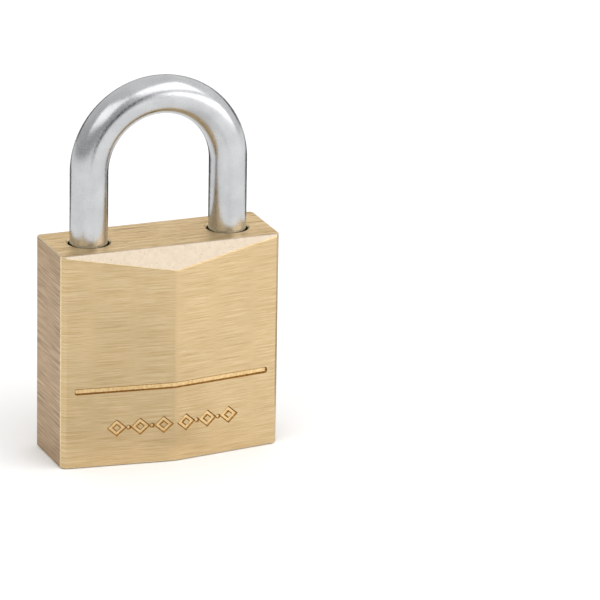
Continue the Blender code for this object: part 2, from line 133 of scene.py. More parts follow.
def pick_faces(piece, wanted):
    """Opens edit mode with the faces selected whose (centre, normal) pass the test."""
    edit(piece, "FACE")
    bpy.ops.object.mode_set(mode="OBJECT")
    for face in piece.data.polygons:
        face.select = wanted(face.center, face.normal)
    bpy.ops.object.mode_set(mode="EDIT")


def pick_edges(piece, wanted):
    """Opens edit mode with the edges selected whose two ends pass the test."""
    edit(piece, "EDGE")
    bpy.ops.object.mode_set(mode="OBJECT")
    points = piece.data.vertices
    for edge in piece.data.edges:
        edge.select = wanted(points[edge.vertices[0]].co, points[edge.vertices[1]].co)
    bpy.ops.object.mode_set(mode="EDIT")


def pick_points(piece, wanted):
    edit(piece, "VERT")
    bpy.ops.object.mode_set(mode="OBJECT")
    for point in piece.data.vertices:
        point.select = wanted(point.co)
    bpy.ops.object.mode_set(mode="EDIT")


def settle(piece, name):
    """Names a piece and moves its place into its mesh, so that its object sits at the origin."""
    take(piece)
    piece.name = name
    piece.data.name = name
    bpy.ops.object.transform_apply(location=True, rotation=True, scale=True)
    return piece


def new_piece(name):
    """The primitive that was just added, with its place in its mesh."""
    return settle(bpy.context.object, name)


# %% Modifier and finishing helpers
def apply_modifier(piece, kind, **settings):
    """Adds a modifier, sets it and applies it."""
    take(piece)
    modifier = piece.modifiers.new(kind.lower(), kind)
    for setting, value in settings.items():
        setattr(modifier, setting, value)
    bpy.ops.object.modifier_apply(modifier=modifier.name)


def join_shape(piece, operation, others):
    """Cuts other objects out of a piece, or welds them to it. The new faces take their own finish along."""
    for other in others:
        settings = {"operation": operation, "solver": "EXACT", "material_mode": "TRANSFER"}
        apply_modifier(piece, "BOOLEAN", object=other, **settings)
        bpy.data.objects.remove(other, do_unlink=True)


def carve(piece, *cutters):
    join_shape(piece, "DIFFERENCE", cutters)


def weld(piece, *others):
    join_shape(piece, "UNION", others)


def outward(piece):
    """Merges doubles, then turns every face outwards."""
    edit(piece, "VERT", everything=True)
    bpy.ops.mesh.remove_doubles(threshold=0.001 * MM)
    bpy.ops.mesh.normals_make_consistent(inside=False)
    leave_edit_mode()


def smooth(piece, degrees=30):
    """Smooth shading up to an angle, with the large flat faces setting the normals at their rims."""
    take(piece)
    bpy.ops.object.shade_smooth_by_angle(angle=math.radians(degrees))
    apply_modifier(piece, "WEIGHTED_NORMAL", keep_sharp=True, weight=80)


def finish(piece, finishes, choose=None):
    """Gives a piece its materials, and each face the one that choose(centre, normal) numbers."""
    for material in finishes:
        piece.data.materials.append(material)
    for face in piece.data.polygons:
        face.material_index = choose(face.center, face.normal) if choose else 0
    return piece


def deliver(piece, stands_for, rides_on):
    """Shades a finished piece and puts it in the frame: what it replaces, and what it moves with."""
    smooth(piece)
    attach(piece, rides_on)
    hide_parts(stands_for)
    print(f"{piece.name}: {len(piece.data.polygons)} faces, rides on {rides_on}")


# %% [markdown]
# ## Turned pieces
#
# Pins, bolts, bores, caps and the plug are all turned on a lathe. One helper makes them: it adds a filled
# circle, then extrudes that face from station to station along the axis, scaling it to each radius, as one
# would by hand with E and S. The piece is then laid along its own axis.


# %% A helper for turned pieces
def turn_up(name, stations, place=(0, 0, 0), axis=Z, sides=64):
    """A closed solid of revolution from (radius, height) stations, along an axis through a place."""
    radius, height = stations[0]
    start = (0, 0, height)
    bpy.ops.mesh.primitive_circle_add(vertices=sides, radius=radius, fill_type="NGON", location=start)
    piece = new_piece(name)
    edit(piece, "FACE", everything=True)
    for next_radius, next_height in stations[1:]:
        bpy.ops.mesh.extrude_region_move(TRANSFORM_OT_translate={"value": (0, 0, next_height - height)})
        grow = next_radius / radius
        bpy.ops.transform.resize(value=(grow, grow, 1), center_override=(0, 0, next_height))
        radius, height = next_radius, next_height
    outward(piece)
    piece.matrix_world = Matrix.Translation(place) @ Z.rotation_difference(Vector(axis)).to_matrix().to_4x4()
    return settle(piece, name)


def block(name, low, high):
    """A plain block between two corners, used as a cutter."""
    low, high = Vector(low), Vector(high)
    bpy.ops.mesh.primitive_cube_add(size=1, location=(low + high) / 2, scale=high - low)
    return new_piece(name)


# %% [markdown]
# ## Materials
#
# A material here starts from the metal and from how its surface was made. One small function adds a node
# with its settings and its links. Colours are sRGB hex values, which one function turns to linear light.


# %% Node and colour helpers
PER_MM = 1 / MM


def linear(hex_colour):
    """An sRGB hex colour as linear RGBA."""
    parts = [int(hex_colour[start : start + 2], 16) / 255 for start in (1, 3, 5)]
    return tuple(c / 12.92 if c <= 0.04045 else ((c + 0.055) / 1.055) ** 2.4 for c in parts) + (1.0,)


def node(tree, kind, links=None, inputs=None, **settings):
    """Adds one node. links names an input and the output socket that feeds it; inputs sets plain values."""
    made = tree.nodes.new(kind)
    for setting, value in settings.items():
        setattr(made, setting, value)
    for name, value in (inputs or {}).items():
        made.inputs[name].default_value = value
    for name, source in (links or {}).items():
        tree.links.new(source, made.inputs[name])
    return made


def start_metal(name, roughness, metallic=1.0):
    """A new material with an empty shader, and object coordinates in metres."""
    material = bpy.data.materials.new(name)
    material.use_nodes = True
    tree = material.node_tree
    shader = tree.nodes["Principled BSDF"]
    shader.inputs["Metallic"].default_value = metallic
    shader.inputs["Roughness"].default_value = roughness
    place = node(tree, "ShaderNodeTexCoord").outputs["Object"]
    return material, tree, shader, place


def ramp(tree, factor, stops):
    """A colour ramp from (position, hex colour) stops."""
    made = node(tree, "ShaderNodeValToRGB", {"Fac": factor})
    band = made.color_ramp
    while len(band.elements) < len(stops):
        band.elements.new(0.5)
    for element, (position, colour) in zip(band.elements, stops):
        element.position = position
        element.color = linear(colour)
    return made.outputs["Color"]


def streaks(tree, place, across, along, detail=6.0, spread=0.6):
    """Noise drawn out into brush lines. across and along are vectors of features per millimetre."""
    scale = tuple((across + along) * PER_MM)
    mapped = node(tree, "ShaderNodeMapping", {"Vector": place}, {"Scale": scale})
    inputs = {"Scale": 1.0, "Detail": detail, "Roughness": spread}
    return node(tree, "ShaderNodeTexNoise", {"Vector": mapped.outputs["Vector"]}, inputs).outputs["Fac"]


def value_range(tree, value, low, high, from_low=0.3, from_high=0.7):
    made = node(tree, "ShaderNodeMapRange", {"Value": value})
    made.inputs["From Min"].default_value = from_low
    made.inputs["From Max"].default_value = from_high
    made.inputs["To Min"].default_value = low
    made.inputs["To Max"].default_value = high
    return made.outputs["Result"]


# %% [markdown]
# ### Brushed brass
#
# The body is cut from extruded cartridge-type brass and dragged over an abrasive belt. Each face is brushed
# in one direction: along the width on the front, back, top and base, and front to back on the narrow sides,
# where a coarser belt leaves deeper lines. The grit is about 0.05 mm, too fine to show, so the lines are
# drawn 0.1 to 0.2 mm apart. They reach the colour, the roughness and the bump.


# %% Brushed brass
def brushed_brass(name, across, along, tones, roughness, line_depth, broad_part=0.2):
    """Brass with brush lines. across and along are vectors of lines in a mm. Tones go dark to light."""
    material, tree, shader, place = start_metal(name, roughness)
    fine = streaks(tree, place, across, along, detail=3.0, spread=0.8)
    broad = streaks(tree, place, across * 0.3, along * 0.6, detail=2.0)
    mix = node(tree, "ShaderNodeMix", {"A": fine, "B": broad}, {"Factor": broad_part}, data_type="FLOAT")
    lines = mix.outputs["Result"]
    cloud = node(tree, "ShaderNodeTexNoise", {"Vector": place}, {"Scale": 0.25 * PER_MM, "Detail": 2.0})
    dark, mid, light = tones
    colour = ramp(tree, lines, [(0.34, dark), (0.5, mid), (0.66, light)])
    patch = node(tree, "ShaderNodeHueSaturation", {"Color": colour})
    tree.links.new(value_range(tree, cloud.outputs["Fac"], 0.96, 1.04), patch.inputs["Value"])
    tree.links.new(patch.outputs["Color"], shader.inputs["Base Color"])
    rough = value_range(tree, lines, roughness + 0.06, roughness - 0.06)
    tree.links.new(rough, shader.inputs["Roughness"])
    bump = node(tree, "ShaderNodeBump", {"Height": lines}, {"Strength": 1.0, "Distance": line_depth})
    tree.links.new(bump.outputs["Normal"], shader.inputs["Normal"])
    return material


front_brass = brushed_brass(
    "belt_brushed_brass",
    across=Z * 11.0,
    along=X * 0.18,
    tones=("#BA9E70", "#D0B68B", "#DEC9A4"),
    roughness=0.36,
    line_depth=0.006 * MM,
    broad_part=0.06,
)
side_brass = brushed_brass(
    "coarse_brushed_brass",
    across=Z * 6.0,
    along=Y * 0.09,
    tones=("#6C5436", "#AF926F", "#C5AC87"),
    roughness=0.38,
    line_depth=0.014 * MM,
    broad_part=0.1,
)
top_brass = brushed_brass(
    "end_brushed_brass",
    across=Y * 5.5,
    along=X * 0.18,
    tones=("#9A7A49", "#E2C492", "#F6E3BD"),
    roughness=0.47,
    line_depth=0.008 * MM,
)
print("brushed brass:", [front_brass.name, side_brass.name, top_brass.name])


# %% [markdown]
# ### Edges and cuts
#
# Hands and the belt polish an edge, so the narrow rounded edges are smoother than the faces. Their paler
# colour is partly that polish and partly a painted highlight. The facets are milled last, so the edges round
# them keep the finish of the faces beside them. A stamped cut is the other way round: its floor is a richer
# gold, because no belt reached it, and its walls are brown, partly with old polish and tarnish and partly
# with painted shade.

# %% Burnished edges with a painted highlight, and stamped cuts with painted shade
def plain_brass(name, dark, light, roughness):
    """Brass with soft blotches about a third of a millimetre wide."""
    material, tree, shader, place = start_metal(name, roughness)
    cloud = node(tree, "ShaderNodeTexNoise", {"Vector": place}, {"Scale": 3.0 * PER_MM, "Detail": 4.0})
    tone = ramp(tree, cloud.outputs["Fac"], [(0.35, dark), (0.65, light)])
    tree.links.new(tone, shader.inputs["Base Color"])
    rough = value_range(tree, cloud.outputs["Fac"], roughness + 0.07, roughness - 0.07)
    tree.links.new(rough, shader.inputs["Roughness"])
    bump = node(tree, "ShaderNodeBump", {"Height": cloud.outputs["Fac"]}, {"Distance": 0.008 * MM})
    tree.links.new(bump.outputs["Normal"], shader.inputs["Normal"])
    return material


# The rounded edges' paler colour is partly burnished wear and partly a painted highlight.
edge_wear_and_highlight_brass = plain_brass("burnished_and_highlight_brass", "#D6C198", "#E8D6B0", 0.32)
cut_floor_brass = plain_brass("stamped_brass", "#DFBB82", "#EFD29E", 0.40)
# The dark brown of the stamped walls is partly tarnish and partly painted shade.
cut_wall_tarnish_and_shade_brass = plain_brass("tarnish_and_shade_brass", "#84602F", "#A97F46", 0.45)
bore_brass = plain_brass("bored_brass", "#B99A5C", "#D2B679", 0.35)


# %% [markdown]
# ### Milled brass
#
# The sloped facets are milled after the body is brushed. A milled face is matte and paler than a brushed
# one, with the small dark pits of free-cutting brass.


# %% Milled brass
def milled_brass(name):
    material, tree, shader, place = start_metal(name, 0.5)
    cloud = node(tree, "ShaderNodeTexNoise", {"Vector": place}, {"Scale": 1.6 * PER_MM, "Detail": 5.0})
    grain = node(tree, "ShaderNodeTexNoise", {"Vector": place}, {"Scale": 6.0 * PER_MM, "Detail": 2.0})
    pits = node(tree, "ShaderNodeTexVoronoi", {"Vector": place}, {"Scale": 1.6 * PER_MM, "Randomness": 1.0})
    spot = value_range(tree, pits.outputs["Distance"], 0.0, 1.0, 0.05, 0.14)
    tone = ramp(tree, cloud.outputs["Fac"], [(0.3, "#C9BAA6"), (0.7, "#D1C3B0")])
    mix = node(tree, "ShaderNodeMix", {"Factor": spot, "B": tone}, data_type="RGBA")
    mix.inputs["A"].default_value = linear("#A98F63")
    tree.links.new(mix.outputs["Result"], shader.inputs["Base Color"])
    rough = value_range(tree, grain.outputs["Fac"], 0.44, 0.58)
    tree.links.new(rough, shader.inputs["Roughness"])
    bump = node(tree, "ShaderNodeBump", {"Height": grain.outputs["Fac"]}, {"Distance": 0.01 * MM})
    tree.links.new(bump.outputs["Normal"], shader.inputs["Normal"])
    return material


facet_brass = milled_brass("milled_brass")

# %% [markdown]
# ### Plated steel
#
# The shackle is bent from drawn steel rod, then polished in a tumbler and nickel plated. The plating is
# bright and nearly neutral. Tumbling leaves it a little soft: its reflections have no hard edges, and there
# are faint scuffs about a third of a millimetre long.

# %% Nickel-plated steel
def plated_steel(name):
    material, tree, shader, place = start_metal(name, 0.22)
    cloud = node(tree, "ShaderNodeTexNoise", {"Vector": place}, {"Scale": 0.35 * PER_MM, "Detail": 3.0})
    tone = ramp(tree, cloud.outputs["Fac"], [(0.35, "#BABBBD"), (0.65, "#C5C6C7")])
    tree.links.new(tone, shader.inputs["Base Color"])
    scuff = node(tree, "ShaderNodeTexNoise", {"Vector": place}, {"Scale": 2.8 * PER_MM, "Detail": 6.0})
    rough = value_range(tree, scuff.outputs["Fac"], 0.19, 0.29)
    tree.links.new(rough, shader.inputs["Roughness"])
    wave = node(tree, "ShaderNodeTexNoise", {"Vector": place}, {"Scale": 0.22 * PER_MM, "Detail": 2.0})
    bump = node(tree, "ShaderNodeBump", {"Height": wave.outputs["Fac"]}, {"Distance": 0.03 * MM})
    tree.links.new(bump.outputs["Normal"], shader.inputs["Normal"])
    return material


rod_nickel = plated_steel("nickel_plated_steel")

# %% [markdown]
# ### Turned metal
#
# The plug, pins, bolts and caps come off a lathe. The tool leaves fine rings round the axis, drawn here as
# noise that depends only on the place along the axis and on the distance from it. Real tool marks are about
# 0.03 mm apart, so they are drawn about ten times coarser than that.


# %% Turned metal
def turned_metal(name, tones, roughness, centre, axis, rings=3.0):
    """A turned metal whose tool rings run round an axis through a centre. rings is their number in a mm."""
    material, tree, shader, place = start_metal(name, roughness)
    shift = node(tree, "ShaderNodeVectorMath", {0: place}, {1: tuple(centre)}, operation="SUBTRACT")
    shifted = {0: shift.outputs[0]}
    along = node(tree, "ShaderNodeVectorMath", shifted, {1: tuple(axis)}, operation="DOT_PRODUCT")
    flat = tuple(1 - abs(part) for part in axis)
    across = node(tree, "ShaderNodeVectorMath", shifted, {1: flat}, operation="MULTIPLY")
    distance = node(tree, "ShaderNodeVectorMath", {0: across.outputs[0]}, operation="LENGTH")
    sockets = {0: distance.outputs["Value"], 1: along.outputs["Value"]}
    joined = node(tree, "ShaderNodeCombineXYZ", sockets)
    inputs = {"Scale": rings * PER_MM, "Detail": 5.0, "Roughness": 0.7}
    noise = node(tree, "ShaderNodeTexNoise", {"Vector": joined.outputs[0]}, inputs).outputs["Fac"]
    dark, light = tones
    tone = ramp(tree, noise, [(0.35, dark), (0.65, light)])
    tree.links.new(tone, shader.inputs["Base Color"])
    rough = value_range(tree, noise, roughness + 0.06, roughness - 0.06)
    tree.links.new(rough, shader.inputs["Roughness"])
    bump = node(tree, "ShaderNodeBump", {"Height": noise}, {"Distance": 0.008 * MM})
    tree.links.new(bump.outputs["Normal"], shader.inputs["Normal"])
    return material


PLUG_BRASS = ("#C7A468", "#E3C88F")
CAP_BRASS = ("#A98C64", "#CDB48E")
PIN_BRASS = ("#CFAE6E", "#EBD39C")
PLAIN_STEEL = ("#8E8F91", "#B4B5B7")

# %% [markdown]
# ### Spring wire
#
# Springs are wound from cold-drawn wire, which is used as it comes: grey, a little oily and never polished.


# %% Spring wire
def wire_steel(name):
    """Cold-drawn spring wire: grey with a faint blue from its heat, and a little oil in the finish."""
    material, tree, shader, place = start_metal(name, 0.3)
    cloud = node(tree, "ShaderNodeTexNoise", {"Vector": place}, {"Scale": 1.2 * PER_MM, "Detail": 3.0})
    tone = ramp(tree, cloud.outputs["Fac"], [(0.35, "#84888F"), (0.65, "#A6A9AE")])
    tree.links.new(tone, shader.inputs["Base Color"])
    rough = value_range(tree, cloud.outputs["Fac"], 0.24, 0.38)
    tree.links.new(rough, shader.inputs["Roughness"])
    bump = node(tree, "ShaderNodeBump", {"Height": cloud.outputs["Fac"]}, {"Distance": 0.01 * MM})
    tree.links.new(bump.outputs["Normal"], shader.inputs["Normal"])
    return material


drawn_wire = wire_steel("drawn_spring_wire")

# %% [markdown]
# ## The body
#
# The real body is sawn from an extruded bar with a six-sided section, so it is straight up and down. The
# model starts the same way: a block is cut in two along its middle, and the two middle edges are pulled out
# into the ridges. The corners are then chamfered, the facets are sliced off the top, and every edge is
# softened a little, because a belt never leaves one sharp.

# %% Block out the body
bpy.ops.mesh.primitive_cube_add(size=1, location=(0, 0, HEIGHT / 2), scale=(WIDTH, 2 * CORNER_Y, HEIGHT))
body = new_piece("padlock_body")
edit(body, "FACE", everything=True)
bpy.ops.mesh.bisect(plane_co=(0, 0, 0), plane_no=X)
for side in (-1, 1):
    pick_points(body, lambda co: abs(co.x) < CLOSE and co.y * side > 0)
    bpy.ops.transform.translate(value=(0, side * (RIDGE_Y - CORNER_Y), 0))
outward(body)


def upright(a, b):
    return abs(a.x - b.x) + abs(a.y - b.y) < SAME


pick_edges(body, lambda a, b: upright(a, b) and abs(a.x) > WIDTH / 2 - CLOSE)
bpy.ops.mesh.bevel(offset_type="WIDTH", offset=CORNER_CHAMFER * math.sqrt(2), segments=1, affect="EDGES")
leave_edit_mode()
print("corners of the body's section:", len(body.data.vertices) // 2)

# %% Slice off the facets
facet_tilt = Vector((0, FACET_DROP, RIDGE_Y - FACET_TOP)).normalized()
for side in (-1, 1):
    edit(body, "FACE", everything=True)
    outer = (0, side * facet_tilt.y, facet_tilt.z)
    top_edge = (0, side * FACET_TOP, HEIGHT)
    bpy.ops.mesh.bisect(plane_co=top_edge, plane_no=outer, use_fill=True, clear_outer=True)
outward(body)

# %% Soften the ridges, then every other edge
RIDGE_SOFT = 0.3 * MM
EDGE_SOFT = 0.13 * MM
pick_edges(body, lambda a, b: abs(a.x) + abs(b.x) < SAME and abs(a.z - b.z) > HEIGHT / 2)
bpy.ops.mesh.bevel(offset_type="OFFSET", offset=RIDGE_SOFT, segments=4, affect="EDGES")
leave_edit_mode()
edges = {"width": EDGE_SOFT, "segments": 3, "limit_method": "ANGLE", "angle_limit": math.radians(12)}
apply_modifier(body, "BEVEL", **edges)
print("body faces after softening:", len(body.data.polygons))

# %% [markdown]
# Each face gets its finish before anything is cut, because a cut face brings its own finish with it. The
# finish follows from the way a face looks.

# %% Give each face of the body its finish
SQUARE_ON = 0.99  # the share of a normal along an axis that counts as facing that way


def body_finish(centre, normal):
    """0 front, back and corner strips, 1 narrow sides, 2 top and base, 3 facets, 4 rounded edges."""
    across, depth, rise = (abs(part) for part in normal)
    if rise > SQUARE_ON:
        return 2
    if across > SQUARE_ON:
        return 1
    if rise < 0.05 and across < 0.8:
        return 0
    if normal.z > 0.05 and across < 0.3:
        return 3 if rise > facet_tilt.z - 0.03 else 0
    return 4


finish(body, [front_brass, side_brass, top_brass, facet_brass, edge_wear_and_highlight_brass], body_finish)

# %% [markdown]
# The holes are drilled next. Each leg bore is opened out by a small countersink that catches the light as a
# thin bright rim, and so is the bore for the plug. The others are drilled in from the right side, and their
# caps and the retaining pin close them again.

# %% Drill the bores
RIM = 0.2 * MM
PLUG_BORE = 4.5 * MM
HEEL_BORE_FLOOR = 3.0 * MM
TOE_BELOW_NOTCH = 2.1 * MM
BOLT_FIT = 0.08 * MM
RETAINER_BORE = 0.81 * MM
plug_low, plug_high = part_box("plug")
TOE_END = BOLT_Z - BOLT_RADIUS - NOTCH_FIT - TOE_BELOW_NOTCH


# The countersink takes the paler edge brass, so part of its bright rim is a painted highlight.
def rim_finish(centre, normal):
    return 1 if 0.3 < abs(normal.z) < 0.9 else 0


for leg_x, floor in ((-LEG_X, HEEL_BORE_FLOOR), (LEG_X, TOE_END - GAP)):
    stations = [(LEG_BORE, floor), (LEG_BORE, HEIGHT - RIM), (LEG_BORE + 2 * RIM, HEIGHT + RIM)]
    cutter = turn_up("leg_bore", stations, (leg_x, 0, 0), sides=96)
    carve(body, finish(cutter, [bore_brass, edge_wear_and_highlight_brass], rim_finish))
shoulder = plug_high.z + GAP
cam_bore = extent("plug_cam").x / 2 + GAP
stations = [(PLUG_BORE + 2 * RIM, -RIM), (PLUG_BORE, RIM), (PLUG_BORE, shoulder), (cam_bore, shoulder)]
stations += [(cam_bore, BOLT_Z)]
carve(body, finish(turn_up("plug_bore", stations, sides=96), [bore_brass, edge_wear_and_highlight_brass], rim_finish))

side_bores = [("bolt_bore_cap", BOLT_RADIUS + BOLT_FIT, -LEG_X)]
side_bores += [("plug_retaining_pin", RETAINER_BORE, PLUG_BORE / 2)]
side_bores += [(f"chamber_cap_{number}", CHAMBER, PLUG_BORE / 2) for number in range(1, 5)]
for name, radius, inner_end in side_bores:
    stations = [(radius, 0), (radius, WIDTH / 2 + MM - inner_end)]
    cutter = turn_up("side_bore", stations, (inner_end, 0, middle(name).z), X, sides=48)
    carve(body, finish(cutter, [bore_brass]))
print("body faces after drilling:", len(body.data.polygons))

# %% [markdown]
# The line across the front is a shallow channel, stamped parallel to both front planes. Its walls lean, so
# they show as a thin brown line above and below a golden floor; the brown is partly tarnish and partly
# painted shade. The cutter is a bar with rounded ends, bent at its middle to follow the ridge.

# %% Stamp the line
LINE_LOW, LINE_HIGH = 10.0 * MM, 10.8 * MM
LINE_DEPTH = 0.22 * MM
LINE_END = 1.7 * MM  # left plain beside each corner
LEAN = 0.15 * MM  # how far a stamped wall leans
half_line = WIDTH / 2 - LINE_END
line_middle = (LINE_LOW + LINE_HIGH) / 2
line_height = LINE_HIGH - LINE_LOW


def front_y(x):
    """The front face at a distance x from the middle."""
    return -(CORNER_Y + (RIDGE_Y - CORNER_Y) * (1 - abs(x) / (WIDTH / 2)))


# The cutter's deepest face makes the gold floor, the rest make the brown walls with their painted shade.
def stamp_finish(centre, normal):
    return 0 if normal.y > 0.9 else 1


outer_size = Vector((2 * (half_line + LEAN), 2 * LINE_DEPTH, line_height + 2 * LEAN))
bpy.ops.mesh.primitive_cube_add(size=1, location=(0, 0, line_middle), scale=outer_size)
channel = new_piece("channel")
pick_edges(channel, lambda a, b: abs(a.y - b.y) > LINE_DEPTH)
bpy.ops.mesh.bevel(offset_type="OFFSET", offset=line_height / 3, segments=4, affect="EDGES")
pick_faces(channel, lambda centre, normal: normal.y > 0.9)
narrower = (1 - 4 * LEAN / outer_size.x, 1, 1 - 4 * LEAN / outer_size.z)
bpy.ops.transform.resize(value=narrower, center_override=(0, 0, line_middle))
leave_edit_mode()
edit(channel, "FACE", everything=True)
bpy.ops.mesh.bisect(plane_co=(0, 0, 0), plane_no=X)
pick_points(channel, lambda co: abs(co.x) < CLOSE)
bpy.ops.transform.translate(value=(0, front_y(0) - front_y(half_line), 0))
leave_edit_mode()
channel.location.y = front_y(half_line)
outward(settle(channel, "channel"))
carve(body, finish(channel, [cut_floor_brass, cut_wall_tarnish_and_shade_brass], stamp_finish))

# %% [markdown]
# Below the line, where a maker would stamp a name, this lock has a plain ornament: outlined lozenges with
# dots between them. Each is a flat shape first, laid on the front plane, then given a stamp's leaning walls.

# %% Stamp the ornament
LOZENGE_WIDTH, LOZENGE_HEIGHT = 2.7 * MM, 2.4 * MM
BAND = 0.62 * MM
DOT_RADIUS = 0.34 * MM
ORNAMENT_Z = 5.1 * MM
STAMP_DEPTH = 0.16 * MM
STEP = 3.1 * MM
front_slope = math.atan2(RIDGE_Y - CORNER_Y, WIDTH / 2)


def stamp(piece):
    """Gives a flat shape its depth: straight above the surface it lies on, leaning inwards below it."""
    edit(piece, "FACE", everything=True)
    bpy.ops.transform.translate(value=(0, 0, STAMP_DEPTH))
    bpy.ops.mesh.extrude_region_move(TRANSFORM_OT_translate={"value": (0, 0, -STAMP_DEPTH)})
    bpy.ops.mesh.inset(thickness=LEAN, depth=0)
    bpy.ops.transform.translate(value=(0, 0, -STAMP_DEPTH))
    outward(piece)
    return piece


def lay_on_front(piece, x):
    """Stands a flat shape up against the front plane at x, with its outer side outwards."""
    turn = Matrix.Rotation(math.copysign(front_slope, x), 4, "Z") @ Matrix.Rotation(math.radians(90), 4, "X")
    piece.matrix_world = Matrix.Translation((x, front_y(x), ORNAMENT_Z)) @ turn
    settle(piece, piece.name)
    return finish(piece, [cut_floor_brass, cut_wall_tarnish_and_shade_brass], stamp_finish)


def lozenge():
    bpy.ops.mesh.primitive_circle_add(vertices=4, radius=0.5, fill_type="NGON")
    bpy.context.object.scale = (LOZENGE_WIDTH, LOZENGE_HEIGHT, 1)
    piece = new_piece("lozenge")
    edit(piece, "FACE", everything=True)
    bpy.ops.mesh.inset(thickness=BAND, depth=0)
    bpy.ops.mesh.delete(type="FACE")
    return stamp(piece)


def dot():
    bpy.ops.mesh.primitive_circle_add(vertices=16, radius=DOT_RADIUS, fill_type="NGON")
    return stamp(new_piece("dot"))


for side in (-1, 1):
    for number in range(3):
        carve(body, lay_on_front(lozenge(), side * STEP * (number + 0.5)))
    for number in (1, 2):
        carve(body, lay_on_front(dot(), side * STEP * number))
deliver(body, "body", "case")

# %% [markdown]
# ## The shackle
#
# The real shackle is one straight rod with turned ends, bent round a former. The model follows the rod from
# the heel to the toe: a round face is extruded up the heel leg from station to station, spun half a turn
# round the middle of the crown, and extruded down again to the toe. The heel's thin neck is where the
# raised shackle swings.

# %% Draw the rod
CHAMFER = 0.5 * MM
NOTCH_HALF = BOLT_RADIUS + NOTCH_FIT
FOOT = 2.5 * MM  # full-width end below the neck
NECK_RADIUS = 1.2 * MM
NECK_LOW = HEEL_END + FOOT
NECK_HIGH = NECK_LOW + 2 * NOTCH_HALF
CUT_EDGE = 0.08 * MM
heel_stations = [
    (ROD_RADIUS - CHAMFER, HEEL_END),
    (ROD_RADIUS - BELLY * CHAMFER, HEEL_END + BELLY * CHAMFER),
    (ROD_RADIUS, HEEL_END + CHAMFER),
    (ROD_RADIUS, NECK_LOW - CUT_EDGE),
    (ROD_RADIUS - CUT_EDGE, NECK_LOW),
    (NECK_RADIUS, NECK_LOW),
    (NECK_RADIUS, NECK_HIGH),
    (ROD_RADIUS, NECK_HIGH + (ROD_RADIUS - NECK_RADIUS) / 2),
    (ROD_RADIUS, CROWN_Z),
]
toe_stations = [
    (ROD_RADIUS, CROWN_Z),
    (ROD_RADIUS, TOE_END + CHAMFER),
    (ROD_RADIUS - BELLY * CHAMFER, TOE_END + BELLY * CHAMFER),
    (ROD_RADIUS - CHAMFER, TOE_END),
]


def follow(stations, leg_x):
    """Extrudes the selected end face through (radius, height) stations on a leg's axis."""
    for (radius, height), (next_radius, next_height) in zip(stations, stations[1:]):
        bpy.ops.mesh.extrude_region_move(TRANSFORM_OT_translate={"value": (0, 0, next_height - height)})
        grow = next_radius / radius
        bpy.ops.transform.resize(value=(grow, grow, 1), center_override=(leg_x, 0, next_height))


start_radius, start_height = heel_stations[0]
bpy.ops.mesh.primitive_circle_add(
    vertices=72, radius=start_radius, fill_type="NGON", location=(-LEG_X, 0, start_height)
)
shackle = new_piece("shackle_rod")
edit(shackle, "FACE", everything=True)
follow(heel_stations, -LEG_X)
bpy.ops.mesh.spin(steps=72, angle=math.pi, center=(0, 0, CROWN_Z), axis=(0, -1, 0))
follow(toe_stations, LEG_X)
outward(shackle)
print("top of the rod, mm:", round(max(point.co.z for point in shackle.data.vertices) / MM, 2))

# %% [markdown]
# Each leg has a notch that its bolt slides into, milled flat across the rod on its inner side. The heel also
# has a shallow track below its notch, which its bolt still reaches into when the plug is turned.

# %% Cut the notches
LEG_FACE = LEG_X - ROD_RADIUS
REACH = 2 * ROD_RADIUS
HEEL_NOTCH, TOE_NOTCH, HEEL_TRACK = 1.35 * MM, 1.3 * MM, 0.55 * MM
finish(shackle, [rod_nickel])
heel_notch, toe_notch, heel_track = (LEG_FACE + depth for depth in (HEEL_NOTCH, TOE_NOTCH, HEEL_TRACK))
notch_low, notch_high = BOLT_Z - NOTCH_HALF, BOLT_Z + NOTCH_HALF
past_leg = LEG_FACE - REACH / 2
carve(
    shackle,
    block("heel_notch", (-heel_notch, -REACH, notch_low), (-past_leg, REACH, notch_high)),
    block("toe_notch", (past_leg, -REACH, notch_low), (toe_notch, REACH, notch_high)),
    block("heel_track", (-heel_track, -REACH, NECK_LOW + NOTCH_HALF), (-past_leg, REACH, BOLT_Z)),
)
deliver(shackle, "shackle", "shackle")

# %% [markdown]
# ## The cylinder
#
# The plug is the round brass piece that the key goes into, seen from below the lock. It is turned first, with
# a groove for the retaining pin. It is modelled turned to the open position.

# %% The plug
PLUG_RADIUS = extent("plug").x / 2
PIN_HEIGHTS = [middle(f"key_pin_{number}").z for number in range(1, 5)]
RETAINER_Z = middle("plug_retaining_pin").z
GROOVE_HALF = 0.95 * MM
WAIST = PLUG_RADIUS - 0.8 * MM
PLUG_EDGE = 0.3 * MM
FINE_EDGE = 0.06 * MM
stations = [
    (PLUG_RADIUS - PLUG_EDGE, plug_low.z),
    (PLUG_RADIUS - BELLY * PLUG_EDGE, plug_low.z + BELLY * PLUG_EDGE),
    (PLUG_RADIUS, plug_low.z + PLUG_EDGE),
    (PLUG_RADIUS, RETAINER_Z - GROOVE_HALF - FINE_EDGE),
    (PLUG_RADIUS - FINE_EDGE, RETAINER_Z - GROOVE_HALF),
    (WAIST, RETAINER_Z - GROOVE_HALF),
    (WAIST, RETAINER_Z + GROOVE_HALF),
    (PLUG_RADIUS - FINE_EDGE, RETAINER_Z + GROOVE_HALF),
    (PLUG_RADIUS, RETAINER_Z + GROOVE_HALF + FINE_EDGE),
    (PLUG_RADIUS, plug_high.z),
]
plug = turn_up("keyed_plug", stations, sides=96)
turned_plug = turned_metal("turned_plug_brass", PLUG_BRASS, 0.28, (0, 0, 0), Z)
finish(plug, [turned_plug])

# %% [markdown]
# The keyway runs front to back, up to the last pin chamber, with a ward standing in from each side. Each
# straight stretch of it is one block, so the wards are what the blocks leave. The four pin chambers are
# drilled across it from one side, and the slot for the cam's tang is milled over the top.

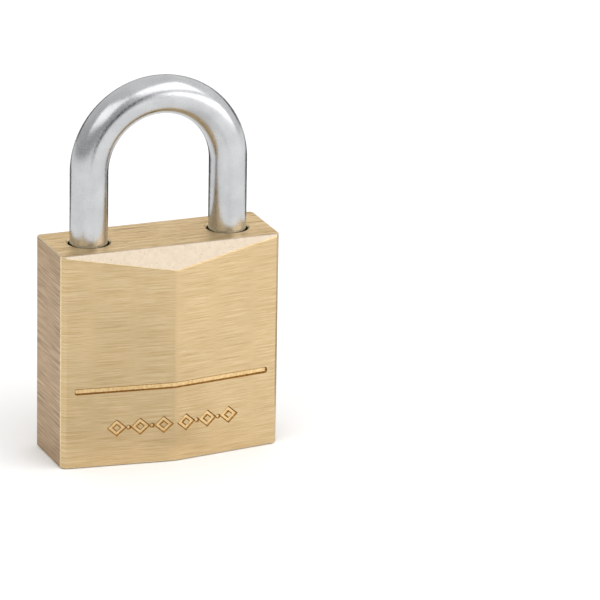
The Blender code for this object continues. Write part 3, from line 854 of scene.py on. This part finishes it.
# %% Broach the keyway and drill the chambers
KEYWAY_HALF = 0.95 * MM
KEYWAY_BACK, KEYWAY_FRONT = -3.56 * MM, 3.36 * MM
WARD = 0.55 * MM
KEYWAY_TOP = PIN_HEIGHTS[-1] + CHAMBER
CHAMBER_START = 0.4 * MM
TANG_SLOT_HALF, TANG_SLOT_DEPTH = 0.65 * MM, 1.1 * MM
sixth = (KEYWAY_FRONT - KEYWAY_BACK) / 6
broached = plain_brass("broached_brass", "#B8975A", "#D6BA7E", 0.34)


def keyway_stretch(low_x, high_x, low_y, high_y):
    """A stretch of the keyway, from below the plug up to the last chamber."""
    return finish(block("slot", (low_x, low_y, -MM), (high_x, high_y, KEYWAY_TOP)), [broached])


carve(
    plug,
    keyway_stretch(WARD - KEYWAY_HALF, KEYWAY_HALF - WARD, KEYWAY_BACK, KEYWAY_FRONT),
    keyway_stretch(0, KEYWAY_HALF, KEYWAY_BACK, KEYWAY_BACK + sixth),
    keyway_stretch(0, KEYWAY_HALF, KEYWAY_BACK + 2 * sixth, KEYWAY_FRONT),
    keyway_stretch(-KEYWAY_HALF, 0, KEYWAY_BACK, KEYWAY_BACK + 3.5 * sixth),
    keyway_stretch(-KEYWAY_HALF, 0, KEYWAY_BACK + 4.5 * sixth, KEYWAY_FRONT),
)
for height in PIN_HEIGHTS:
    stations = [(CHAMBER, 0), (CHAMBER, 2 * PLUG_RADIUS)]
    chamber = turn_up("chamber", stations, (0, CHAMBER_START, height), Y, sides=40)
    carve(plug, finish(chamber, [broached]))
slot_low = (-TANG_SLOT_HALF, -PLUG_BORE, plug_high.z - TANG_SLOT_DEPTH)
slot_high = (TANG_SLOT_HALF, PLUG_BORE, plug_high.z + MM)
carve(plug, block("tang_slot", slot_low, slot_high))
deliver(plug, "plug", "plug")

# %% [markdown]
# The cam sits on the plug: its tang stands in the plug's slot, and its two studs drive the bolts. It is
# turned and milled from steel, so the tang and the studs are welded to the stem as separate shapes here.

# %% The cam
cam_low, cam_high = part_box("plug_cam")
CAM_RADIUS = extent("plug_cam").x / 2
CAM_EDGE = 0.15 * MM
STEM_LOW = plug_high.z + GAP
STEM_HIGH = BOLT_Z - BOLT_RADIUS - GAP
TANG_HALF, TANG_REACH = 0.6 * MM, 1.8 * MM
STUD_RADIUS = 0.35 * MM
STUD_EDGE = 0.08 * MM
STUD_PLACES = (0.4 * MM, -0.65 * MM)  # each stud stands on a diagonal, this far along X and back along Y
SUNK_IN = 0.1 * MM  # how far one welded shape stands in the other
stations = [
    (CAM_RADIUS - CAM_EDGE, STEM_LOW),
    (CAM_RADIUS, STEM_LOW + CAM_EDGE),
    (CAM_RADIUS, STEM_HIGH - CAM_EDGE),
    (CAM_RADIUS - CAM_EDGE, STEM_HIGH),
]
cam = turn_up("bolt_cam", stations)
finish(cam, [turned_metal("turned_cam_steel", PLAIN_STEEL, 0.34, (0, 0, 0), Z)])
tang_low = (-TANG_HALF, -TANG_REACH, cam_low.z)
weld(cam, block("tang", tang_low, (TANG_HALF, TANG_REACH, STEM_LOW + SUNK_IN)))
for across in STUD_PLACES:
    stations = [
        (STUD_RADIUS, STEM_HIGH - SUNK_IN),
        (STUD_RADIUS, cam_high.z - STUD_EDGE),
        (STUD_RADIUS - STUD_EDGE, cam_high.z),
    ]
    weld(cam, turn_up("stud", stations, (across, -across, 0), sides=32))
deliver(cam, "plug_cam", "plug")

# %% [markdown]
# ## Pins, caps and bolts
#
# These are small turned pieces too. Each node of the frame gives the piece its length, its radius and its
# place, so only the shapes of its two ends are written here. A key pin has a point that a key's cut lifts,
# a driver pin is flat with broken edges, and what is pressed in has a lead at its inner end and is flush at
# its outer one.

# %% A helper for the small turned pieces
def turned_piece(stands_for, name, tones, axis, low_edge, high_edge):
    """A pin along the X or Y axis of a node's box. Its edges are (radius lost, length) at its two ends."""
    low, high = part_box(stands_for)
    radius = (high - low).z / 2
    length = (high - low).dot(axis)
    centre = middle(stands_for)
    start = centre - axis * length / 2
    (low_loss, low_run), (high_loss, high_run) = low_edge, high_edge
    stations = [
        (radius - low_loss, 0),
        (radius, low_run),
        (radius, length - high_run),
        (radius - high_loss, length),
    ]
    piece = turn_up(name, stations, start, axis, sides=48)
    return finish(piece, [turned_metal(f"turned_{name}", tones, 0.28, centre, axis, rings=4.0)])


# %% Key pins, driver pins and the caps that close their chambers
EDGE = (0.08 * MM, 0.08 * MM)
FLUSH = (0.02 * MM, 0.02 * MM)
POINT, KEY_PIN_BACK = (0.72 * MM, 0.69 * MM), (0.2 * MM, 0.15 * MM)
DRIVER_TIP = (0.22 * MM, 0.22 * MM)
CAP_LEAD, BOLT_CAP_LEAD, RETAINER_LEAD = (0.2 * MM, 0.2 * MM), (0.25 * MM, 0.25 * MM), (0.3 * MM, 0.3 * MM)
for number in range(1, 5):
    key_pin, driver_pin, cap = f"key_pin_{number}", f"driver_pin_{number}", f"chamber_cap_{number}"
    piece = turned_piece(key_pin, f"pointed_pin_{number}", PIN_BRASS, Y, POINT, KEY_PIN_BACK)
    deliver(piece, key_pin, key_pin)
    piece = turned_piece(driver_pin, f"flat_pin_{number}", PIN_BRASS, X, DRIVER_TIP, EDGE)
    deliver(piece, driver_pin, driver_pin)
    piece = turned_piece(cap, f"chamber_plug_{number}", CAP_BRASS, X, CAP_LEAD, FLUSH)
    deliver(piece, cap, "case")
piece = turned_piece("bolt_bore_cap", "bolt_bore_plug", CAP_BRASS, X, BOLT_CAP_LEAD, FLUSH)
deliver(piece, "bolt_bore_cap", "case")
piece = turned_piece("plug_retaining_pin", "retaining_pin", PLAIN_STEEL, X, RETAINER_LEAD, FLUSH)
deliver(piece, "plug_retaining_pin", "case")

# %% [markdown]
# Each bolt is a round bar whose inner half is filed down to a tongue, so that the two tongues pass beside
# each other. A slot across the tongue takes the cam's stud.

# %% The two bolts
TONGUE_EDGE = 0.05 * MM
TIP = (0.35 * MM, 0.35 * MM)
STUD_TOP = BOLT_Z - GAP


def bolt(stands_for, name, side, shoulder, slot_half):
    """side is -1 for the heel's bolt, at the left, and 1 for the toe's."""
    low_edge, high_edge = (TIP, EDGE) if side < 0 else (EDGE, TIP)
    piece = turned_piece(stands_for, name, PLAIN_STEEL, X, low_edge, high_edge)
    reach = 2 * BOLT_RADIUS
    past_end = -side * reach
    low_x, high_x = sorted((past_end, side * shoulder))
    low_y, high_y = sorted((side * TONGUE_EDGE, -side * reach))
    tongue = block("tongue", (low_x, low_y, BOLT_Z - reach), (high_x, high_y, BOLT_Z + reach))
    low_y, high_y = sorted((-side * TONGUE_EDGE, side * reach))
    stud_slot = block("stud_slot", (-slot_half, low_y, BOLT_Z - reach), (slot_half, high_y, STUD_TOP + GAP))
    carve(piece, tongue, stud_slot)
    deliver(piece, stands_for, stands_for)


bolt("heel_bolt", "left_bolt", side=-1, shoulder=3.65 * MM, slot_half=0.8 * MM)
bolt("toe_bolt", "right_bolt", side=1, shoulder=3.4 * MM, slot_half=1.05 * MM)

# %% [markdown]
# ## Springs
#
# A coil spring is wire wound round a mandrel, with its last turn at each end wound flat against the next,
# so that it stands square. A curve follows that helix by a formula, its round bevel is the wire, and it is
# then turned into a mesh.

# %% A helper for wound springs
TURN_STEPS = 32
CLOSED_PITCH = 1.04  # of a closed end turn, in thicknesses of the wire


def wind(name, stands_for, wire, turns, axis):
    """A compression spring that fills its node's box along an axis, with one closed turn at each end."""
    size = extent(stands_for)
    length = size.dot(axis)
    radius = (size.x + size.y + size.z - length) / 4 - wire / 2
    closed = CLOSED_PITCH * wire
    open_pitch = (length - wire - 2 * closed) / (turns - 2)
    curve = bpy.data.curves.new(name, "CURVE")
    curve.dimensions = "3D"
    curve.bevel_depth = wire / 2
    curve.bevel_resolution = 3
    curve.use_fill_caps = True
    line = curve.splines.new("POLY")
    line.points.add(turns * TURN_STEPS)
    for step, point in enumerate(line.points):
        turn = step / TURN_STEPS
        height = closed * min(turn, 1) + open_pitch * min(max(turn - 1, 0), turns - 2)
        height += closed * max(turn - turns + 1, 0) + wire / 2
        angle = math.tau * turn
        point.co = (radius * math.cos(angle), radius * math.sin(angle), height, 1)
    coil = bpy.data.objects.new(name, curve)
    bpy.context.scene.collection.objects.link(coil)
    take(coil)
    bpy.ops.object.convert(target="MESH")
    start = middle(stands_for) - axis * length / 2
    coil.matrix_world = Matrix.Translation(start) @ Z.rotation_difference(axis).to_matrix().to_4x4()
    outward(settle(coil, name))
    finish(coil, [drawn_wire])
    deliver(coil, stands_for, "case")
    return coil


# %% Wind the springs
wind("lift_spring", "shackle_spring", wire=0.45 * MM, turns=8, axis=Z)
wind("left_bolt_spring", "heel_bolt_spring", wire=0.22 * MM, turns=4, axis=X)
wind("right_bolt_spring", "toe_bolt_spring", wire=0.22 * MM, turns=4, axis=X)
for number in range(1, 5):
    coil = wind(f"pin_spring_{number}", f"driver_spring_{number}", wire=0.25 * MM, turns=7, axis=X)
    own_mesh(coil)

# %% [markdown]
# ## The floor and the light
#
# The lock stands on pale paper inside a soft white tent. The paper is clear when seen from below, but it
# still keeps the light off the base, which is black in such a view.

# %% Floor
bpy.ops.mesh.primitive_plane_add(size=6.0, location=(0, 0, -GAP))
floor = bpy.context.object
floor.name = "studio_floor"
paper, tree, shader, _ = start_metal("pale_paper", 0.9, metallic=0.0)
shader.inputs["Base Color"].default_value = linear("#F7F7F7")
shader.inputs["Specular IOR Level"].default_value = 0.0
from_below = node(tree, "ShaderNodeNewGeometry").outputs["Backfacing"]
clear = node(tree, "ShaderNodeBsdfTransparent").outputs["BSDF"]
one_sided = node(tree, "ShaderNodeMixShader", {0: from_below, 1: shader.outputs["BSDF"], 2: clear})
tree.links.new(one_sided.outputs[0], tree.nodes["Material Output"].inputs["Surface"])
floor.data.materials.append(paper)

# %% [markdown]
# Metal shows what is round it more than what falls on it, so the tent's shading matters most. It is pale,
# and brighter above, to the right and behind.

# %% The tent
scene = bpy.context.scene
scene.view_settings.view_transform = "Standard"
LIGHT_SIDE = Vector((0.55, 0.35, 0.75)).normalized()
world = bpy.data.worlds.new("studio_tent")
world.use_nodes = True
tent = world.node_tree
direction = node(tent, "ShaderNodeTexCoord").outputs["Generated"]
facing = node(tent, "ShaderNodeVectorMath", {0: direction}, {1: tuple(LIGHT_SIDE)}, operation="DOT_PRODUCT")
glow = value_range(tent, facing.outputs["Value"], 0, 1, -0.5, 0.8)
cloth = [(0, "#B6B6B6"), (0.2, "#C4C4C4"), (0.46, "#D2D2D2"), (0.7, "#EEEEEE"), (1, "#FFFFFF")]
tent.links.new(ramp(tent, glow, cloth), tent.nodes["Background"].inputs["Color"])
tent.nodes["Background"].inputs["Strength"].default_value = 0.95
scene.world = world

# %% [markdown]
# Two soft lamps stand above the lock at either side, and a low one lights the right front plane. A fourth
# lights the paper, and does not show in the metal.

# %% Lamps
AIM = Vector((0, 0, 30 * MM))


def aimed(thing, azimuth, elevation, distance):
    """Stands a lamp or a card in a direction from the lock, in degrees, facing it and out of view."""
    around, above = math.radians(azimuth), math.radians(elevation)
    away = Vector((math.sin(around) * math.cos(above), -math.cos(around) * math.cos(above), math.sin(above)))
    thing.location = AIM + away * distance
    thing.rotation_euler = away.to_track_quat("Z", "Y").to_euler()
    thing.visible_camera = False


def panel(name, azimuth, elevation, distance, size, brightness):
    """A soft rectangular lamp. Its brightness is that of its face, where fully lit white paper is 1."""
    light = bpy.data.lights.new(name, "AREA")
    light.shape = "RECTANGLE"
    light.size, light.size_y = size
    light.energy = brightness * math.pi * size[0] * size[1]
    lamp = bpy.data.objects.new(name, light)
    scene.collection.objects.link(lamp)
    aimed(lamp, azimuth, elevation, distance)
    return lamp


panel("left_lamp", azimuth=-58, elevation=44, distance=0.9, size=(0.8, 0.5), brightness=1.2)
panel("right_lamp", azimuth=38, elevation=52, distance=0.9, size=(0.9, 0.6), brightness=1.25)
panel("low_lamp", azimuth=44, elevation=12, distance=0.9, size=(0.9, 0.35), brightness=1.6)
paper_lamp = panel("paper_lamp", azimuth=-10, elevation=62, distance=1.0, size=(1.0, 1.0), brightness=0.49)
paper_lamp.visible_glossy = False

# %% [markdown]
# Bright metal in a white tent has no outline, so cards of black felt are held near it. A slanted one in front
# gives the bend its dark streak. The others lie or stand behind the lock and beside it, for the rod's dark
# edges, and a grey one in front keeps the left front plane a little darker than the right one.


# %% The slanted card
def felt(name, colour):
    material, _, shader, _ = start_metal(name, 1.0, metallic=0.0)
    shader.inputs["Base Color"].default_value = linear(colour)
    return material


black = felt("black_felt", "#0C0C0C")
bpy.ops.mesh.primitive_plane_add(size=1)
card = bpy.context.object
card.name = "black_card"
card.scale = (0.17, 0.05, 1)
card.data.materials.append(black)
aimed(card, azimuth=-4, elevation=9, distance=0.25)
card.rotation_euler.rotate_axis("Z", math.radians(50))
card.visible_diffuse = False
card.visible_shadow = False

# %% The cards round the lock
BEHIND = 159.2  # the direction straight away from the camera, in degrees
FAR_CARD = 0.41  # metres from the lock


def reflected_only(thing, name, cover=black):
    """Makes a card that shows in the metal only: not to the camera, to the paper or as a shadow."""
    settle(thing, name)
    thing.data.materials.append(cover)
    thing.visible_camera = False
    thing.visible_diffuse = False
    thing.visible_shadow = False


def floor_strip(name, azimuth, near, far, width, aside=0.0, cover=black):
    """A card that lies on the paper, between two distances from the lock in a direction."""
    bpy.ops.mesh.primitive_plane_add(size=1)
    lying = Matrix.LocRotScale((aside, -(near + far) / 2, MM), None, (width, far - near, 1))
    bpy.context.object.matrix_world = Matrix.Rotation(math.radians(azimuth), 4, "Z") @ lying
    reflected_only(bpy.context.object, name, cover)


grey = felt("grey_felt", "#E2E2E2")
floor_strip("floor_card", BEHIND, near=0.07, far=FAR_CARD, width=0.24)
floor_strip("left_plane_card", 7, near=0.009, far=0.078, width=0.026, aside=-0.007, cover=grey)
floor_strip("right_card", 108, near=0.018, far=0.085, width=0.012)
bpy.ops.mesh.primitive_plane_add(size=1)
upright_turn = Matrix.Rotation(math.radians(90), 4, "X").to_quaternion()
standing = Matrix.LocRotScale((0, -FAR_CARD, 0.05), upright_turn, (0.8, 0.1, 1))
bpy.context.object.matrix_world = Matrix.Rotation(math.radians(BEHIND), 4, "Z") @ standing
reflected_only(bpy.context.object, "far_card")

# %% [markdown]
# ## The camera
#
# A long lens from the left and a little above keeps the upright edges nearly parallel. The lock stands left
# of the middle, so the camera is turned a little to the right of it.

# %% Camera
AZIMUTH, ELEVATION, ROLL = math.radians(-20.8), math.radians(19.5), math.radians(0.5)
DISTANCE = 0.7095  # metres
FOCAL = 9.08  # focal length over image width
LOOK_AT = Vector((0, 0, 13 * MM))
ASIDE, ABOVE = 0.238, 0.082  # how far the lock stands left of and below the middle, in image widths

back = Vector(
    (math.sin(AZIMUTH) * math.cos(ELEVATION), -math.cos(AZIMUTH) * math.cos(ELEVATION), math.sin(ELEVATION))
)
level = Vector((math.cos(AZIMUTH), math.sin(AZIMUTH), 0))
right = level * math.cos(ROLL) + back.cross(level) * math.sin(ROLL)
up = back.cross(right)
forward = (-back + right * ASIDE / FOCAL + up * ABOVE / FOCAL).normalized()
right = (right - forward * right.dot(forward)).normalized()
camera_data = bpy.data.cameras.new("camera")
camera_data.lens = FOCAL * camera_data.sensor_width
camera_data.clip_start = 0.01
camera = bpy.data.objects.new("camera", camera_data)
scene.collection.objects.link(camera)
turn = Matrix((right, (-forward).cross(right), -forward)).transposed()
camera.matrix_world = Matrix.Translation(LOOK_AT + back * DISTANCE) @ turn.to_4x4()
scene.camera = camera
print("lens, mm:", round(camera_data.lens, 1))
